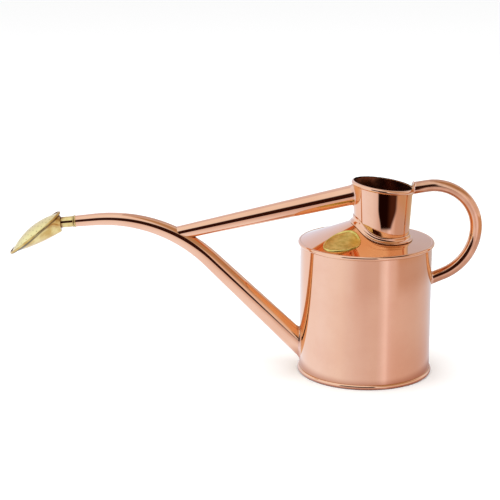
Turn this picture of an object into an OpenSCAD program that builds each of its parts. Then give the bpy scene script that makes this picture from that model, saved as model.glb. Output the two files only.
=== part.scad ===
// Small indoor watering can: a sheet-metal drum with an arched top cover, an
// offset filler neck, a long curved spout held by a brace tube, a loop handle
// and a push-fit brass rose.  The origin is on the drum's axis, in the plane
// that the can stands on.  The spout points to -X and the handle to +X.

/* [Drum] */
// Outside diameter of the drum
drum_d = 116; // [90:1:150]
// Height of the plane that the cover meets the drum in
rim_z = 119; // [95:1:150]
// Thickness of the sheet metal
sheet = 0.8; // [0.6:0.1:1.2]
// Width of the brazed line down the side of the drum
seam_w = 1.2; // [0.8:0.1:2]
// How far the base plate is recessed above the standing plane
base_recess = 3; // [2:0.5:6]
// Height of the rolled hem round the foot of the drum
hem_h = 4; // [3:0.5:6]
// Diameter of the wire rolled into the drum's upper rim
rim_wire_d = 3.6; // [2.4:0.2:5]

/* [Cover and neck] */
// Distance of the neck's axis behind the drum's axis
neck_x = 13.6; // [8:0.2:18]
// Outside diameter of the neck where it passes the drum's rim plane
neck_base_d = 46.8; // [38:0.2:56]
// How much wider the neck is at its mouth
neck_flare = 6.2; // [0:0.2:12]
// Height of the middle of the mouth above the rim plane
neck_h = 48.9; // [38:0.1:60]
// Slope of the mouth, down towards the handle
mouth_tilt = 7.5; // [0:0.1:12]
// Diameter of the wire rolled into the mouth's edge
mouth_wire_d = 3.8; // [2.6:0.2:5]
// Height of the cover's ridge above the rim plane, where it meets the neck
ridge_h = 17.8; // [12:0.1:22]
// Height of the cover above the rim plane behind the neck
cover_back_h = 1.2; // [0.8:0.1:3]
// Half-angle that the ridge spreads over
ridge_spread = 43; // [35:1:55]
// How far behind the drum's axis the folds of the cover fan out from
fan_x = 20; // [14:1:24]
// Height of the flared collar round the foot of the neck
collar_h = 5.6; // [4:0.2:8]
// Width of the collar's foot
collar_w = 3.2; // [2.4:0.2:5]

/* [Plaque] */
// Length of the oval plaque
plaque_l = 34; // [24:1:38]
// Width of the oval plaque
plaque_w = 27; // [18:1:30]
// Thickness of the plaque
plaque_t = 1.2; // [0.8:0.1:2]

/* [Spout] */
// Outside diameter of the spout at the drum
spout_root_d = 19.6; // [15:0.2:23]
// Outside diameter of the spout at its tip
spout_tip_d = 9.8; // [9:0.2:12]
// Height at which the spout's centre line meets the drum
spout_root_z = 24.4; // [18:0.2:40]
// Rise of the straight stretch
spout_rise = 44.3; // [38:0.1:50]
// Length of the straight stretch
spout_straight = 110.5; // [80:0.5:140]
// Radius of the bend
spout_bend_r = 128.5; // [90:0.5:160]
// How far the tip points below level
tip_drop = 5; // [0:0.5:12]
// Length of the straight tip after the bend
spout_tip_l = 17.1; // [10:0.1:30]

/* [Brace] */
// Outside diameter of the brace at the spout
brace_spout_d = 12; // [9:0.2:13]
// Outside diameter of the brace at the neck
brace_neck_d = 17.6; // [12:0.2:18]
// Distance along the spout to the point where the brace meets it
brace_station = 150; // [125:1:175]
// How far below the middle of the mouth the brace's centre line meets the neck
brace_drop = 8; // [4:0.1:16]

/* [Handle] */
// Outside diameter of the handle tube
handle_d = 10.6; // [8:0.2:12]
// Wall of the handle tube
handle_wall = 1; // [0.8:0.1:1.5]
// Radius of the upper bend of the handle, at the tube's centre line
handle_top_r = 37.7; // [30:0.1:44]
// Radius of the lower bend of the handle
handle_low_r = 45.7; // [36:0.1:50]
// Reach of the tube's centre line behind the drum's wall
handle_reach = 38.2; // [30:0.2:48]
// How far below the middle of the mouth the handle's rearmost point is
handle_drop = 37.4; // [30:0.1:48]
// Slope of the handle where it leaves the neck
handle_top_slope = 9; // [2:0.5:14]
// Slope of the handle where it enters the drum
handle_low_slope = 22.9; // [15:0.1:35]

/* [Rose] */
// Outside diameter of the rose's socket
socket_d = 9.6; // [9:0.1:11]
// Length of the rose's socket
socket_l = 11.5; // [9:0.5:16]
// Length of the oval face, over its rolled edge
rose_l = 57.8; // [44:0.2:66]
// Width of the oval face, over its rolled edge
rose_w = 41; // [30:0.5:50]
// Angle between the face and the spout's tip
rose_tilt = 34.5; // [25:0.5:45]
// Height of the face's upper end above the socket's axis
rose_top = 9.1; // [7.5:0.1:12]
// Rise of the domed face
dome_h = 6.2; // [2:0.1:8]
// Diameter of the rose's rolled edge
rose_wire_d = 2.8; // [2:0.2:4]
// Diameter of the spray holes
spray_d = 0.9; // [0.8:0.1:1.6]
// Rings of spray holes round the middle one
spray_rings = 4; // [2:1:4]

/* [Hidden] */

$fn = 96;
COPPER = [0.86, 0.55, 0.42];
COPPER_DARK = [0.78, 0.48, 0.36];
BRASS = [0.83, 0.72, 0.42];
SOLDER = [0.80, 0.60, 0.48];
RUBBER = [0.12, 0.12, 0.12];

drum_r = drum_d / 2;
inner_r = drum_r - sheet;
seat_gap = 0.05;          // clearance where a formed sheet meets a round tube
run_gap = 0.04;           // running clearance of the rose on its seal
solder_gap = 0.04;        // a solder fillet stands this far off the wall and the tube
hem_gap = 1;              // the wall and the base plate stand this far up in the hem
cover_sides = 96;
tube_sides = 40;
far = 400;                // longer than anything in the can

// ---- the neck's cone ----
mouth_z = rim_z + neck_h;
neck_mouth_d = neck_base_d + neck_flare;
neck_slope = neck_flare / 2 / neck_h;
function neck_r(z) = neck_base_d / 2 + neck_slope * (z - rim_z);
neck_foot_z = rim_z - 2;
neck_head_z = mouth_z + 25;

// ---- the cover's surface: straight folds that fan out from one point ----
function fan_to_circle(psi, cx, r) =
    let (off = fan_x - cx, along = off * cos(psi))
    along + sqrt(along * along + r * r - off * off);
function breast_h(psi) = cover_back_h + (ridge_h - cover_back_h) / (1 + pow(abs(psi) / ridge_spread, 4));
function to_neck(psi, grow) = fan_to_circle(psi, neck_x, neck_r(rim_z + breast_h(psi)) + grow);
function to_rim(psi) = fan_to_circle(psi, 0, drum_r);
function cover_z(psi, rho) =
    let (inner = to_neck(psi, 0))
    rim_z + breast_h(psi) * (to_rim(psi) - rho) / (to_rim(psi) - inner);
function fan_point(psi, rho, dz) = [fan_x - rho * cos(psi), -rho * sin(psi), cover_z(psi, rho) + dz];
function fan_angle(x, y) = atan2(-y, fan_x - x);
function fan_rho(x, y) = norm([fan_x - x, y]);
function on_cover(x, y, dz) = fan_point(fan_angle(x, y), fan_rho(x, y), dz);

// ---- the spout's centre line, by distance along it from the drum's wall ----
bend_turn = spout_rise + tip_drop;
bend_l = spout_bend_r * bend_turn * PI / 180;
spout_l = spout_straight + bend_l + spout_tip_l;
bend_start = [-drum_r - spout_straight * cos(spout_rise), spout_root_z + spout_straight * sin(spout_rise)];
bend_mid = bend_start - spout_bend_r * [sin(spout_rise), cos(spout_rise)];
bend_end = bend_mid + spout_bend_r * [-sin(tip_drop), cos(tip_drop)];
function heading(s) =
    s <= spout_straight ? spout_rise
    : s <= spout_straight + bend_l ? spout_rise - (s - spout_straight) / spout_bend_r * 180 / PI
    : -tip_drop;
function spout_at(s) =
    s <= spout_straight ? bend_start + (spout_straight - s) * [cos(spout_rise), -sin(spout_rise)]
    : s <= spout_straight + bend_l ? bend_mid + spout_bend_r * [sin(heading(s)), cos(heading(s))]
    : bend_end - (s - spout_straight - bend_l) * [cos(tip_drop), sin(tip_drop)];
spout_swell = 0.6;        // the taper is a little fuller half-way
function spout_r(s) =
    let (u = max(0, min(1, s / spout_l)))
    (spout_root_d * (1 - u) + spout_tip_d * u) / 2 + spout_swell * 2 * u * (1 - u);
function spout_point(s, r, phi) =
    let (c = spout_at(s), h = heading(s))
    [c[0] + r * cos(phi) * sin(h), r * sin(phi), c[1] + r * cos(phi) * cos(h)];
function spout_ring(s, r) = [for (j = [0:tube_sides - 1]) spout_point(s, r, j * 360 / tube_sides)];
bend_steps = 22;
SPOUT_STATIONS = concat([-14, 0, spout_straight * 0.35, spout_straight * 0.7],
    [for (i = [0:bend_steps]) spout_straight + bend_l * i / bend_steps], [spout_l]);

// ---- the tip and the rose, along the tip's axis ----
tip_end = spout_at(spout_l);
socket_wall = 0.6;
seal_t = 0.42;
seal_r = socket_d / 2 - socket_wall - run_gap;   // the seal's outside
spigot_r = seal_r - seal_t - run_gap;            // the seal turns on this
stop_w = 1.5;             // the ferrule's stop bead
socket_z = stop_w + 0.2;  // where the socket's mouth sits at rest
rose_z = socket_z + socket_l;
rear_r = socket_d / 2 + 2;    // the rose's round rear wall
rear_drop = 1.2;
rim_lap = 1.1;                // the rolled edge overhangs the rose's body by this
face_a = (rose_l - rose_wire_d) / 2;
face_b = (rose_w - rose_wire_d) / 2;
face_dir = [-sin(rose_tilt), cos(rose_tilt)];
face_out = [cos(rose_tilt), sin(rose_tilt)];
face_mid = [rose_top, rose_z] + rose_l / 2 * face_dir;

// ---- the brace's centre line ----
brace_foot = spout_at(brace_station);
brace_neck_z = mouth_z - brace_drop;
brace_head = [neck_x - neck_r(brace_neck_z), brace_neck_z];
brace_run = brace_head - brace_foot;
brace_l = norm(brace_run);
brace_angle = atan2(brace_run[1], brace_run[0]);
brace_into_neck = 8;      // the tube is drawn this much too long, then coped

// ---- the handle's centre line ----
handle_z = mouth_z - handle_drop;
handle_mid_top = [drum_r + handle_reach - handle_top_r, handle_z];
handle_mid_low = [drum_r + handle_reach - handle_low_r, handle_z];
handle_r = handle_d / 2;
top_leave = handle_mid_top + handle_top_r * [-sin(handle_top_slope), cos(handle_top_slope)];
low_leave = handle_mid_low + handle_low_r * [sin(handle_low_slope), -cos(handle_low_slope)];
handle_plug = 4;          // the upper end is closed for this length
handle_sides = 32;
handle_steps = 14;
function handle_bend(mid, r, from, to) = [for (i = [0:handle_steps])
    let (h = from + (to - from) * i / handle_steps) [mid[0] - r * sin(h), mid[1] + r * cos(h), h]];
function along(p, l) = [p[0] + l * cos(p[2]), p[1] + l * sin(p[2]), p[2]];
top_joint = [top_leave[0], top_leave[1], handle_top_slope];
low_joint = [low_leave[0], low_leave[1], handle_low_slope - 180];
top_reach = (top_leave[0] - neck_x) / cos(handle_top_slope);
low_reach = (low_leave[0] - drum_r * 0.9) / cos(handle_low_slope);
// x, z and heading of each point of the handle's centre line, from the neck to the drum
HANDLE_PATH = concat([along(top_joint, -top_reach), along(top_joint, neck_mouth_d / 2 + handle_plug - top_reach)],
    handle_bend(handle_mid_top, handle_top_r, handle_top_slope, -90),
    [for (i = [1:handle_steps]) handle_bend(handle_mid_low, handle_low_r, -90, handle_low_slope - 180)[i]],
    [along(low_joint, low_reach)]);

// =====================================================================
// shared shapes
// =====================================================================

// A closed shell whose cross-section loop is carried round: every ring has the
// same number of points, and the last ring joins the first.
module ring_loop(rings) {
    n = len(rings);
    m = len(rings[0]);
    polyhedron(points = [for (r = rings) for (p = r) p],
        faces = [for (i = [0:n - 1]) for (j = [0:m - 1])
            let (a = i * m + j, b = i * m + (j + 1) % m,
                 c = ((i + 1) % n) * m + (j + 1) % m, d = ((i + 1) % n) * m + j)
            each [[a, b, c], [a, c, d]]]);
}

// A closed solid through the rings, with a flat cap on the first and the last.
module ring_skin(rings) {
    n = len(rings);
    m = len(rings[0]);
    sides = [for (i = [0:n - 2]) for (j = [0:m - 1])
        let (a = i * m + j, b = i * m + (j + 1) % m, c = (i + 1) * m + (j + 1) % m, d = (i + 1) * m + j)
        each [[a, b, c], [a, c, d]]];
    polyhedron(points = [for (r = rings) for (p = r) p],
        faces = concat(sides, [[for (j = [m - 1:-1:0]) j]], [[for (j = [0:m - 1]) (n - 1) * m + j]]));
}

module at_neck_axis() { translate([neck_x, 0, 0]) children(); }

module neck_cone(grow) {
    h = neck_head_z - neck_foot_z;
    at_neck_axis() translate([0, 0, neck_foot_z])
        cylinder(h = h, r1 = neck_r(neck_foot_z) + grow, r2 = neck_r(neck_head_z) + grow);
}

module at_mouth() { translate([neck_x, 0, mouth_z]) rotate([0, mouth_tilt, 0]) children(); }

module mouth_bead() {
    at_mouth() rotate_extrude()
        translate([neck_mouth_d / 2 - mouth_wire_d * 0.18, 0]) circle(d = mouth_wire_d, $fn = 40);
}

module in_xz() { rotate([90, 0, 0]) children(); }

// local Z runs out of the tip and local X points up
module at_tip() {
    translate([tip_end[0], 0, tip_end[1]]) rotate([0, -90 - tip_drop, 0]) children();
}

// local Z runs from the spout to the neck
module at_brace() {
    translate([brace_foot[0], 0, brace_foot[1]]) rotate([0, 90 - brace_angle, 0]) children();
}

module tube(h, r_out, r_in) {
    difference() {
        cylinder(h = h, r = r_out);
        translate([0, 0, -1]) cylinder(h = h + 2, r = r_in);
    }
}

// Where a straight line from the point p along the unit vector d first comes
// within r_of(z) of a vertical axis at ax: r_of is the neck's cone or the drum.
function gap_to(p, ax, on_neck) = norm([p[0] - ax, p[1]]) - (on_neck ? neck_r(p[2]) : drum_r);
function hit(p, d, ax, on_neck, lo, hi, n = 24) =
    let (mid = (lo + hi) / 2)
    n == 0 ? mid
    : gap_to(p + mid * d, ax, on_neck) > 0 ? hit(p, d, ax, on_neck, mid, hi, n - 1)
    : hit(p, d, ax, on_neck, lo, mid, n - 1);

// A fillet of solder where a tube meets the drum or the neck.  c is a point on
// the tube's axis outside the wall, d the unit vector into it, up the unit
// vector across the tube in the XZ plane, r the tube's radius.
module solder_ring(c, d, up, r, w, ax, on_neck, sides) {
    reach = 60;           // longer than the way from c to the wall
    function line(phi, rr) = c + rr * (cos(phi) * up + sin(phi) * [0, 1, 0]);
    function foot(phi, rr) = hit(line(phi, rr), d, ax, on_neck, 0, reach) - solder_gap;
    function at(phi, rr, back) = line(phi, rr) + (foot(phi, r) - back) * d;
    function wall(phi, rr) = line(phi, rr) + foot(phi, rr) * d;
    ring_loop([
        [for (j = [0:sides - 1]) wall(j * 360 / sides, r)],
        [for (j = [0:sides - 1]) wall(j * 360 / sides, r + w)],
        [for (j = [0:sides - 1]) at(j * 360 / sides, r + w * 0.35, w * 0.8)],
        [for (j = [0:sides - 1]) at(j * 360 / sides, r, w * 2)]]);
}

// =====================================================================
// drum
// =====================================================================

module drum_wall() {
    color(COPPER) difference() {
        translate([0, 0, hem_gap]) tube(rim_z - sheet - hem_gap, drum_r, inner_r);
        // the gap that the brazed side seam fills
        translate([inner_r - 1, -seam_w / 2, 0]) cube([sheet + 2, seam_w, rim_z]);
        // water way into the spout
        translate([-drum_r, 0, spout_root_z]) rotate([0, -90 + spout_rise, 0])
            translate([0, 0, -15]) cylinder(h = 25, r = spout_root_d / 2 - sheet);
    }
}

// the drum's outside, as a solid
module drum_core() { cylinder(h = rim_z, r = drum_r); }

module side_seam() {
    color(SOLDER) intersection() {
        translate([0, 0, hem_gap]) tube(rim_z - sheet - hem_gap, drum_r, inner_r);
        translate([inner_r - 1, -seam_w / 2, 0]) cube([sheet + 2, seam_w, rim_z]);
    }
}

module base_plate() {
    color(COPPER_DARK) rotate_extrude() union() {
        translate([0, base_recess]) square([inner_r, sheet]);
        translate([inner_r - sheet, hem_gap]) square([sheet, base_recess - hem_gap + 0.1]);
    }
}

module base_hem() {
    bead_r = hem_h / 2 + 0.2;
    color(COPPER) rotate_extrude() difference() {
        intersection() {
            translate([drum_r - 0.6, hem_h / 2]) circle(r = bead_r, $fn = 40);
            square([drum_r + hem_h, hem_h + 0.1]);
        }
        translate([inner_r - sheet - 3, hem_gap]) square([2 * sheet + 3, hem_h + 1]);
    }
}

module rim_bead() {
    color(COPPER) rotate_extrude() difference() {
        translate([drum_r + 0.2, rim_z - rim_wire_d * 0.44]) circle(d = rim_wire_d, $fn = 40);
        square([drum_r, rim_z + rim_wire_d]);
    }
}

// =====================================================================
// cover, neck and plaque
// =====================================================================

module top_cover() {
    steps = 5;
    function ring(k, dz) = [for (j = [0:cover_sides - 1])
        let (psi = j * 360 / cover_sides - 180, inner = to_neck(psi, seat_gap),
             rho = inner + (to_rim(psi) - seat_gap - inner) * k / steps)
        fan_point(psi, rho, dz)];
    color(COPPER) ring_loop(concat(
        [for (k = [0:steps]) ring(k, 0)],
        [for (k = [steps:-1:0]) ring(k, -sheet)]));
}

module neck() {
    color(COPPER) difference() {
        neck_cone(0);
        neck_cone(-sheet);
        neck_bore_end();
        at_mouth() translate([-far / 2, -far / 2, mouth_wire_d * 0.4]) cube([far, far, far]);
    }
}

// clears the last of the bore at the neck's foot
module neck_bore_end() {
    at_neck_axis() translate([0, 0, neck_foot_z - 2]) cylinder(h = 4, r = neck_r(neck_foot_z) - sheet);
}

module neck_rim() {
    color(COPPER) difference() {
        mouth_bead();
        neck_cone(0);
    }
}

module neck_collar() {
    // the profile, as distance out from the neck and height above the cover
    profile = [[0.06, 0.12], [collar_w, 0.12], [collar_w + 0.35, 0.7], [collar_w, 1.5],
               [collar_w * 0.62, 2.1], [collar_w * 0.38, 3], [collar_w * 0.3, collar_h - 0.5],
               [collar_w * 0.16, collar_h], [0.06, collar_h]];
    function at(psi, out, up) =
        let (rho0 = to_neck(psi, out), rim = to_rim(psi),
             z = cover_z(psi, min(rho0, rim)) + up,
             rho = fan_to_circle(psi, neck_x, neck_r(z) + out))
        [fan_x - rho * cos(psi), -rho * sin(psi), z];
    color(COPPER) ring_loop([for (q = profile)
        [for (j = [0:cover_sides - 1]) at(j * 360 / cover_sides - 180, q[0], q[1])]]);
}

// the plaque lies part-way down one fold, and shrinks where that has too little room
plaque_psi = 35.7;
plaque_share = 0.545;
plaque_turn = 26;
plaque_lift = 0.2;
plaque_edge = 1;          // least distance from the collar and the rim
plaque_fold = to_rim(plaque_psi) - to_neck(plaque_psi, 0);
plaque_mid = fan_point(plaque_psi, to_neck(plaque_psi, 0) + plaque_share * plaque_fold, 0);
plaque_room = 2 * min(plaque_share * plaque_fold - collar_w, (1 - plaque_share) * plaque_fold) - 2 * plaque_edge;
plaque_k = min(1, plaque_room / plaque_l);

// an oval plaque that lies on the cover, with a raised border; it carries no marks
module maker_plaque() {
    border = 1.4;
    sides = 48;
    function edge(k, dz) = [for (j = [0:sides - 1])
        let (a = j * 360 / sides, u = plaque_k * k * plaque_l / 2 * cos(a),
             v = plaque_k * k * plaque_w / 2 * sin(a))
        on_cover(plaque_mid[0] + u * cos(plaque_turn) - v * sin(plaque_turn),
                 plaque_mid[1] + u * sin(plaque_turn) + v * cos(plaque_turn), dz)];
    inset = 1 - 2 * border / plaque_l;
    field = plaque_t * 0.6;
    color(BRASS) ring_skin([edge(0.04, field), edge(0.35, field), edge(0.7, field),
        edge(inset - 0.03, field), edge(inset, plaque_t), edge(0.98, plaque_t), edge(1, plaque_t - 0.25),
        for (k = [1, 0.85, 0.7, 0.52, 0.35, 0.18, 0.04]) edge(k, plaque_lift)]);
}

// =====================================================================
// spout and brace
// =====================================================================

module spout() {
    color(COPPER) difference() {
        ring_loop(concat(
            [for (s = SPOUT_STATIONS) spout_ring(s, spout_r(s))],
            [for (i = [len(SPOUT_STATIONS) - 1:-1:0])
                spout_ring(SPOUT_STATIONS[i], spout_r(SPOUT_STATIONS[i]) - sheet)]));
        drum_core();
    }
}

// the bend's outside as a true ring, as stout as the spout is at one distance along it
module bend_core(s) {
    translate([bend_mid[0], 0, bend_mid[1]]) in_xz()
        rotate([0, 0, 90 - spout_rise]) rotate_extrude(angle = bend_turn)
            translate([spout_bend_r, 0]) circle(r = spout_r(s), $fn = 64);
}

module spout_ferrule() {
    plug_r = (spout_tip_d / 2 - sheet) * cos(180 / tube_sides) - 0.01;
    plug_l = 6;
    spigot_l = socket_l - 0.5;
    color(BRASS) at_tip() rotate_extrude() difference() {
        union() {
            translate([0, -plug_l]) square([plug_r, plug_l]);
            square([spigot_r, socket_z + spigot_l]);
            square([spout_tip_d / 2, stop_w]);
            translate([spout_tip_d / 2 - 0.3, stop_w / 2]) circle(d = stop_w, $fn = 24);
        }
        translate([-1, -plug_l - 1]) square([spigot_r - sheet + 1, 2 * plug_l + socket_l + 20]);
    }
}

module spout_solder() {
    d = [cos(spout_rise), 0, -sin(spout_rise)];
    up = [sin(spout_rise), 0, cos(spout_rise)];
    start = spout_at(30);
    color(SOLDER) solder_ring([start[0], 0, start[1]], d, up, spout_r(0) + solder_gap, 1.7, 0, false, tube_sides);
}

module brace_tube() {
    drawn = brace_l + brace_into_neck;
    grow = (brace_neck_d - brace_spout_d) / 2 / brace_l;
    r_head = brace_neck_d / 2 + grow * brace_into_neck;
    color(COPPER) difference() {
        at_brace() difference() {
            cylinder(h = drawn, r1 = brace_spout_d / 2, r2 = r_head);
            translate([0, 0, -0.01])
                cylinder(h = drawn + 0.02, r1 = brace_spout_d / 2 - sheet, r2 = r_head - sheet);
        }
        neck_cone(0);
        bend_core(brace_station - brace_spout_d);
    }
}

module brace_solder() {
    d = [cos(brace_angle), 0, sin(brace_angle)];
    up = [-sin(brace_angle), 0, cos(brace_angle)];
    start = brace_head - 30 * [d[0], d[2]];
    color(SOLDER) difference() {
        solder_ring([start[0], 0, start[1]], d, up, brace_neck_d / 2 + 3 * solder_gap,
            1.4, neck_x, true, tube_sides);
        mouth_bead();
    }
}

// =====================================================================
// handle
// =====================================================================

module handle_tube() {
    function ring(q, r) = [for (j = [0:handle_sides - 1]) let (phi = j * 360 / handle_sides)
        [q[0] - r * cos(phi) * sin(q[2]), r * sin(phi), q[1] + r * cos(phi) * cos(q[2])]];
    color(COPPER) difference() {
        ring_skin(concat([for (q = HANDLE_PATH) ring(q, handle_r)],
            [for (i = [len(HANDLE_PATH) - 1:-1:1]) ring(HANDLE_PATH[i], handle_r - handle_wall)]));
        neck_cone(0);
        mouth_bead();
        drum_core();
    }
}

module handle_top_solder() {
    d = [-cos(handle_top_slope), 0, -sin(handle_top_slope)];
    up = [-sin(handle_top_slope), 0, cos(handle_top_slope)];
    color(SOLDER) difference() {
        solder_ring([top_leave[0], 0, top_leave[1]], d, up, handle_r + solder_gap, 1.1, neck_x, true, handle_sides);
        mouth_bead();
        at_mouth() translate([-far / 2, -far / 2, 0]) cube([far, far, far]);
    }
}

module handle_low_solder() {
    d = [-cos(handle_low_slope), 0, -sin(handle_low_slope)];
    up = [-sin(handle_low_slope), 0, cos(handle_low_slope)];
    color(SOLDER) solder_ring([low_leave[0], 0, low_leave[1]], d, up, handle_r + solder_gap, 1.1, 0, false, handle_sides);
}

// =====================================================================
// rose
// =====================================================================

module rose_seal() {
    color(RUBBER) at_tip() translate([0, 0, socket_z + 0.5])
        tube(socket_l * 0.6, seal_r, seal_r - seal_t);
}

module rose_socket() {
    color(BRASS) at_tip() translate([0, 0, socket_z])
        tube(socket_l, socket_d / 2, socket_d / 2 - socket_wall);
}

// points round the face's edge, in the tip's own frame: x up, y across, z out
function face_point(phi, a, b, out) =
    let (p = face_mid - a * cos(phi) * face_dir + out * face_out) [p[0], b * sin(phi), p[1]];
function rear_point(phi, r, z) = [r * cos(phi) - rear_drop, r * sin(phi), z];

module rose_back() {
    steps = 6;
    bulge = 1.8;
    function mix(phi, t, inset) =
        let (p = rear_point(phi, rear_r - inset, rose_z + inset),
             q = face_point(phi, face_a - rim_lap - inset, face_b - rim_lap - inset, -0.8),
             m = p * (1 - t) + q * t)
        m + bulge * 4 * t * (1 - t) * [cos(phi) < 0 ? cos(phi) : 0, 0.6 * sin(phi), 0];
    function ring(t, inset) = [for (j = [0:tube_sides - 1]) mix(j * 360 / tube_sides, t, inset)];
    function hole(z) = [for (j = [0:tube_sides - 1])
        let (phi = j * 360 / tube_sides) [spigot_r * cos(phi), spigot_r * sin(phi), z]];
    color(BRASS) at_tip() ring_loop(concat([hole(rose_z)],
        [for (k = [0:steps]) ring(k / steps, 0)],
        [for (k = [steps:-1:0]) ring(k / steps, sheet)],
        [hole(rose_z + sheet)]));
}

module rose_face() {
    dome_rings = [0.06, 0.3, 0.55, 0.78, 1];
    edge_gap = 0.05;
    function ring(k, drop) = [for (j = [0:tube_sides - 1]) face_point(j * 360 / tube_sides,
        (face_a - edge_gap) * k, (face_b - edge_gap) * k, dome_h * (1 - k * k) - drop)];
    color(BRASS) at_tip() difference() {
        ring_skin(concat([for (k = dome_rings) ring(k, 0)],
            [for (i = [len(dome_rings) - 1:-1:0]) ring(dome_rings[i], 0.7)]));
        for (k = [0:spray_rings]) for (j = [0:max(0, 6 * k - 1)])
            spray_hole(k / (spray_rings + 0.8), j * 60 / max(1, k));
    }
}

module spray_hole(k, phi) {
    p = face_point(phi, face_a * k, face_b * k, -2);
    translate(p) rotate([0, 90 - rose_tilt, 0]) cylinder(h = dome_h + 4, d = spray_d, $fn = 6);
}

module rose_rim() {
    r = rose_wire_d / 2;
    function at(phi, q) =
        let (n = [cos(phi) * face_b, sin(phi) * face_a] / norm([cos(phi) * face_b, sin(phi) * face_a]),
             p = face_mid - (face_a * cos(phi) + r * q[0] * n[0]) * face_dir + r * q[1] * face_out)
        [p[0], face_b * sin(phi) + r * q[0] * n[1], p[1]];
    profile = [[0.02, 0.9], [0.5, 0.86], [0.87, 0.5], [1, 0], [0.87, -0.5], [0.5, -0.86], [0.02, -0.9]];
    color(BRASS) at_tip() ring_loop([for (q = profile)
        [for (j = [0:tube_sides - 1]) at(j * 360 / tube_sides, q)]]);
}

drum_wall();
side_seam();
base_plate();
base_hem();
rim_bead();
top_cover();
neck();
neck_rim();
neck_collar();
maker_plaque();
spout();
spout_ferrule();
spout_solder();
brace_tube();
brace_solder();
handle_tube();
handle_top_solder();
handle_low_solder();
rose_seal();
rose_socket();
rose_back();
rose_face();
rose_rim();
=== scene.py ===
"""Looks of a small polished copper watering can with a brass rose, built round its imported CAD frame.

Sizes are in millimetres and degrees, as in the CAD source, until a mesh is made: then they are in metres.
The drum stands on the floor at the origin, the spout points to -X and the handle to +X.
"""

import math

import bmesh
import bpy
import numpy as np
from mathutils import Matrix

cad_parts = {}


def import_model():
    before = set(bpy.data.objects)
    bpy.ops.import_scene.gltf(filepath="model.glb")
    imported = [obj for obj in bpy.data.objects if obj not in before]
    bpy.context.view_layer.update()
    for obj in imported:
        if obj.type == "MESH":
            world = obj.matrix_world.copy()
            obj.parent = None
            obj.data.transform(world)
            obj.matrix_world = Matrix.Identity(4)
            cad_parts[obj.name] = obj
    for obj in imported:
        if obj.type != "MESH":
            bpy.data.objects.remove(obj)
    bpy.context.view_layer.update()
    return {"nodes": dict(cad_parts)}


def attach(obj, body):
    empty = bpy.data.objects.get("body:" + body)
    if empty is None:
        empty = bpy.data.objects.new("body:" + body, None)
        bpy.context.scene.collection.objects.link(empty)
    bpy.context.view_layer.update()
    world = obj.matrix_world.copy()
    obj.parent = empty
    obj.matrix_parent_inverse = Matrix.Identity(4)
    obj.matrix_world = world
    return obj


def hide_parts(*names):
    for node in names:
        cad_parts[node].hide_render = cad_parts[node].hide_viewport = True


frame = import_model()
MM = 0.001

# ---------------------------------------------------------------- sizes, the same as the CAD source's
DRUM_R = 58.0
RIM_Z = 119.0
SHEET = 0.8
HEM_H = 4.0
RIM_WIRE_D = 3.6
NECK_X = 13.6
NECK_BASE_D = 46.8
NECK_FLARE = 6.2
NECK_H = 48.9
MOUTH_TILT = 7.5
MOUTH_WIRE_D = 3.8
RIDGE_H = 17.8
COVER_BACK_H = 1.2
RIDGE_SPREAD = 43.0
FAN_X = 20.0
COLLAR_H = 5.6
COLLAR_W = 3.2
PLAQUE_L = 34.0
PLAQUE_W = 27.0
PLAQUE_T = 1.2
PLAQUE_PSI = 35.7
PLAQUE_SHARE = 0.545
PLAQUE_TURN = 26.0
SPOUT_ROOT_D = 19.6
SPOUT_TIP_D = 9.8
SPOUT_SWELL = 0.6
SPOUT_ROOT_Z = 24.4
SPOUT_RISE = 44.3
SPOUT_STRAIGHT = 110.5
SPOUT_BEND_R = 128.5
TIP_DROP = 5.0
SPOUT_TIP_L = 17.1
BRACE_SPOUT_D = 12.0
BRACE_NECK_D = 17.6
BRACE_STATION = 150.0
BRACE_DROP = 8.0
HANDLE_D = 10.6
HANDLE_TOP_R = 37.7
HANDLE_LOW_R = 45.7
HANDLE_REACH = 38.2
HANDLE_DROP = 37.4
HANDLE_TOP_SLOPE = 9.0
HANDLE_LOW_SLOPE = 22.9
SOCKET_D = 9.6
SOCKET_L = 11.5
SOCKET_WALL = 0.6
SOCKET_Z = 1.7
ROSE_L = 57.8
ROSE_W = 41.0
ROSE_TILT = 34.5
ROSE_TOP = 9.1
ROSE_WIRE_D = 2.8
DOME_H = 6.2
SPRAY_D = 0.9
SPRAY_RINGS = 4
REAR_R = SOCKET_D / 2 + 2
REAR_DROP = 1.2
REAR_BULGE = 1.8
RIM_LAP = 1.1
SPIGOT_R = 3.7
SEAT_GAP = 0.05         # clearance where a formed sheet meets what it is soldered to
HEM_REACH = 3.4         # the hem turns in this far under the wall
HEM_T = 1.0             # and is this thick under the base
FOOT_LAP = 1.0          # the hem laps this far up the wall's foot
NECK_TAIL = 2.0         # the neck goes this far down inside the cover

# how many points go round each kind of piece
DRUM_SIDES = 256
COVER_SIDES = 288
NECK_SIDES = 192
MOUTH_SIDES = 224
SPOUT_SIDES = 72
BRACE_SIDES = 64
HANDLE_SIDES = 56
CUP_SIDES = 72
CONE_SIDES = 120
ROSE_SIDES = 144

MOUTH_Z = RIM_Z + NECK_H
NECK_MOUTH_D = NECK_BASE_D + NECK_FLARE
HANDLE_Z = MOUTH_Z - HANDLE_DROP
BRACE_NECK_Z = MOUTH_Z - BRACE_DROP
ROSE_Z = SOCKET_Z + SOCKET_L


def cos(a):
    return np.cos(np.radians(a))


def sin(a):
    return np.sin(np.radians(a))


def turn(n):
    """n angles round a full turn, in degrees."""
    return np.arange(n) * 360 / n


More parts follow.
